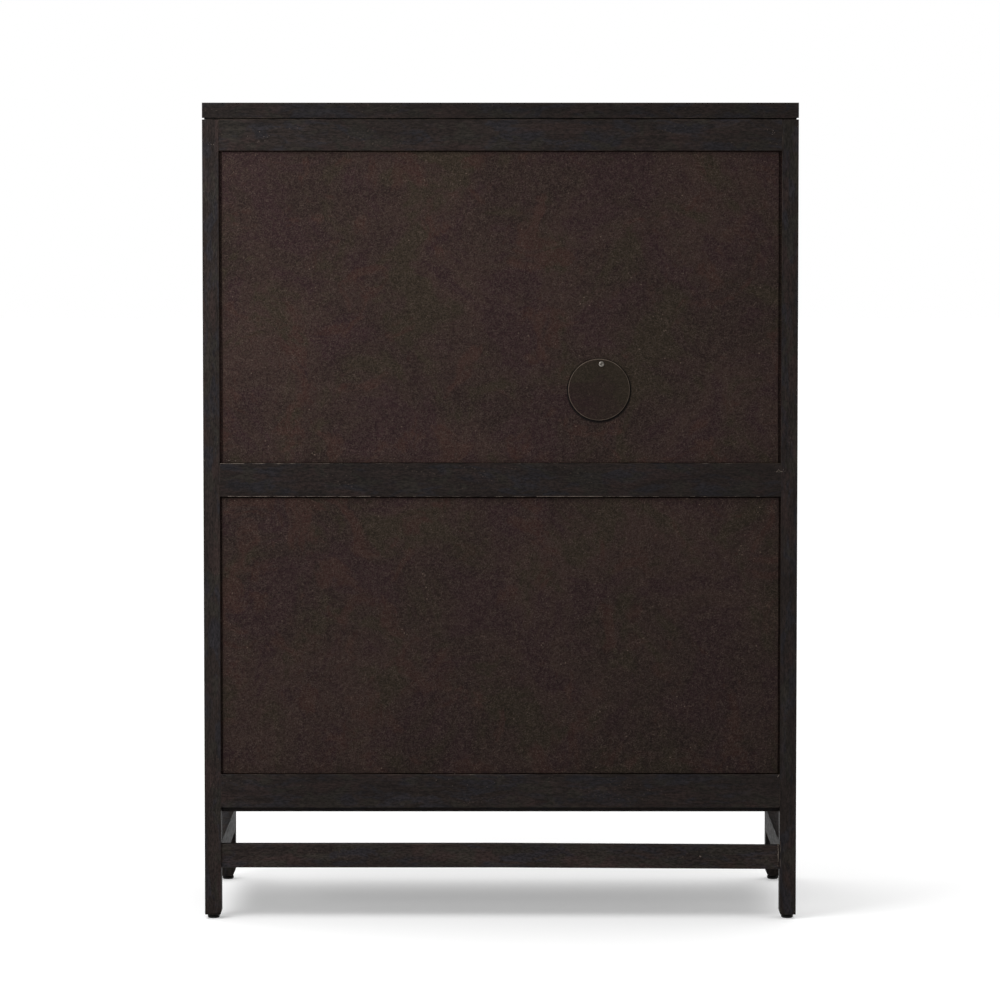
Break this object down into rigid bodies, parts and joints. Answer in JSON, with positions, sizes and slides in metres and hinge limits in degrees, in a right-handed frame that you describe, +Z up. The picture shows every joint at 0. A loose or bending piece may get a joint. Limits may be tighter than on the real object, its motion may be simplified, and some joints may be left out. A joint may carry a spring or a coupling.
{
  "type": "apothecary cabinet",
  "caption": "Dark wood cabinet on legs: glazed doors over a bank of small drawers, with a covered cable hole in its back.",
  "frame": {"origin": "on the floor, under the middle of the box that holds the whole cabinet, knobs included", "axes": "+Z up, -Y towards the front with the doors and drawers, +X to the right seen from the front"},
  "size_m": [1.016, 0.534, 1.4],
  "materials": {
    "case_wood": "satin black-brown stain over visible grain",
    "back_hardboard": "matt brown stain on fibrous hardboard",
    "drawer_wood": "dark stained front, oiled pine box",
    "inner_wood": "bare pine",
    "glass": "clear float glass",
    "hardware_brass": "dark aged brass",
    "steel": "zinc plated",
    "catch_plastic": "moulded",
    "glide_plastic": "moulded"
  },
  "bodies": {
    "case": {"top_panel": "case_wood", "top_spacer": "case_wood", "front_rails": "case_wood", "back_top_rail": "case_wood", "back_middle_rail": "case_wood", "back_bottom_rail": "case_wood", "side_rails": "case_wood", "back_panel_upper": "back_hardboard", "back_panel_lower": "back_hardboard", "bottom_panel": "case_wood", "middle_deck": "case_wood", "drawer_face_frame": "case_wood", "drawer_dividers": "case_wood", "drawer_runners": "inner_wood", "back_stretcher": "case_wood", "side_stretchers": "case_wood", "shelf_pins": "steel", "glide_sockets": "steel", "hinge_leaves": "hardware_brass", "hinge_pins": "hardware_brass", "door_catch": "catch_plastic", "cable_cover_screw": "steel", "leg_front_left": "case_wood", "leg_front_right": "case_wood", "leg_back_left": "case_wood", "leg_back_right": "case_wood", "side_panels_left": "case_wood", "side_panels_right": "case_wood"},
    "shelf": {"shelf": "case_wood"},
    "cable_cover": {"cable_cover": "back_hardboard"},
    "glide_front_left": {"glide_front_left": "glide_plastic"},
    "glide_front_right": {"glide_front_right": "glide_plastic"},
    "glide_back_left": {"glide_back_left": "glide_plastic"},
    "glide_back_right": {"glide_back_right": "glide_plastic"},
    "door_left": {"door_left_frame": "case_wood", "door_left_glass": "glass", "door_left_knob": "hardware_brass", "door_left_fittings": "hardware_brass"},
    "door_right": {"door_right_frame": "case_wood", "door_right_glass": "glass", "door_right_knob": "hardware_brass", "door_right_fittings": "hardware_brass"},
    "drawer_lower_left": {"drawer_lower_left": "drawer_wood", "drawer_lower_left_pull": "hardware_brass"},
    "drawer_lower_centre": {"drawer_lower_centre": "drawer_wood", "drawer_lower_centre_pull": "hardware_brass"},
    "drawer_lower_right": {"drawer_lower_right": "drawer_wood", "drawer_lower_right_pull": "hardware_brass"},
    "drawer_middle_left": {"drawer_middle_left": "drawer_wood", "drawer_middle_left_pull": "hardware_brass"},
    "drawer_middle_centre": {"drawer_middle_centre": "drawer_wood", "drawer_middle_centre_pull": "hardware_brass"},
    "drawer_middle_right": {"drawer_middle_right": "drawer_wood", "drawer_middle_right_pull": "hardware_brass"},
    "drawer_upper_left": {"drawer_upper_left": "drawer_wood", "drawer_upper_left_pull": "hardware_brass"},
    "drawer_upper_centre": {"drawer_upper_centre": "drawer_wood", "drawer_upper_centre_pull": "hardware_brass"},
    "drawer_upper_right": {"drawer_upper_right": "drawer_wood", "drawer_upper_right_pull": "hardware_brass"}
  },
  "joints": [
    {"name": "door_left_hinge", "type": "hinge", "parent": "case", "child": "door_left", "pos_m": [-0.479, -0.2448, 1.05175], "axis": [0, 0, -1], "range_deg": [0, 170]},
    {"name": "door_right_hinge", "type": "hinge", "parent": "case", "child": "door_right", "pos_m": [0.479, -0.2448, 1.05175], "axis": [0, 0, 1], "range_deg": [0, 170]},
    {"name": "drawer_lower_left_slide", "type": "slide", "parent": "case", "child": "drawer_lower_left", "axis": [0, -1, 0], "range_m": [0, 0.33]},
    {"name": "drawer_lower_centre_slide", "type": "slide", "parent": "case", "child": "drawer_lower_centre", "axis": [0, -1, 0], "range_m": [0, 0.33]},
    {"name": "drawer_lower_right_slide", "type": "slide", "parent": "case", "child": "drawer_lower_right", "axis": [0, -1, 0], "range_m": [0, 0.33]},
    {"name": "drawer_middle_left_slide", "type": "slide", "parent": "case", "child": "drawer_middle_left", "axis": [0, -1, 0], "range_m": [0, 0.33]},
    {"name": "drawer_middle_centre_slide", "type": "slide", "parent": "case", "child": "drawer_middle_centre", "axis": [0, -1, 0], "range_m": [0, 0.33]},
    {"name": "drawer_middle_right_slide", "type": "slide", "parent": "case", "child": "drawer_middle_right", "axis": [0, -1, 0], "range_m": [0, 0.33]},
    {"name": "drawer_upper_left_slide", "type": "slide", "parent": "case", "child": "drawer_upper_left", "axis": [0, -1, 0], "range_m": [0, 0.33]},
    {"name": "drawer_upper_centre_slide", "type": "slide", "parent": "case", "child": "drawer_upper_centre", "axis": [0, -1, 0], "range_m": [0, 0.33]},
    {"name": "drawer_upper_right_slide", "type": "slide", "parent": "case", "child": "drawer_upper_right", "axis": [0, -1, 0], "range_m": [0, 0.33]},
    {"name": "shelf_lift", "type": "slide", "parent": "case", "child": "shelf", "axis": [0, 0, 1], "range_m": [0, 0.16]},
    {"name": "cable_cover_swing", "type": "hinge", "parent": "case", "child": "cable_cover", "pos_m": [-0.1726, 0.2627, 0.955], "axis": [0, 1, 0], "range_deg": [-180, 180]},
    {"name": "glide_front_left_turn", "type": "hinge", "parent": "case", "child": "glide_front_left", "pos_m": [-0.494, -0.222, 0], "axis": [0, 0, 1], "continuous": true},
    {"name": "glide_front_right_turn", "type": "hinge", "parent": "case", "child": "glide_front_right", "pos_m": [0.494, -0.222, 0], "axis": [0, 0, 1], "continuous": true},
    {"name": "glide_back_left_turn", "type": "hinge", "parent": "case", "child": "glide_back_left", "pos_m": [-0.494, 0.248, 0], "axis": [0, 0, 1], "continuous": true},
    {"name": "glide_back_right_turn", "type": "hinge", "parent": "case", "child": "glide_back_right", "pos_m": [0.494, 0.248, 0], "axis": [0, 0, 1], "continuous": true}
  ]
}
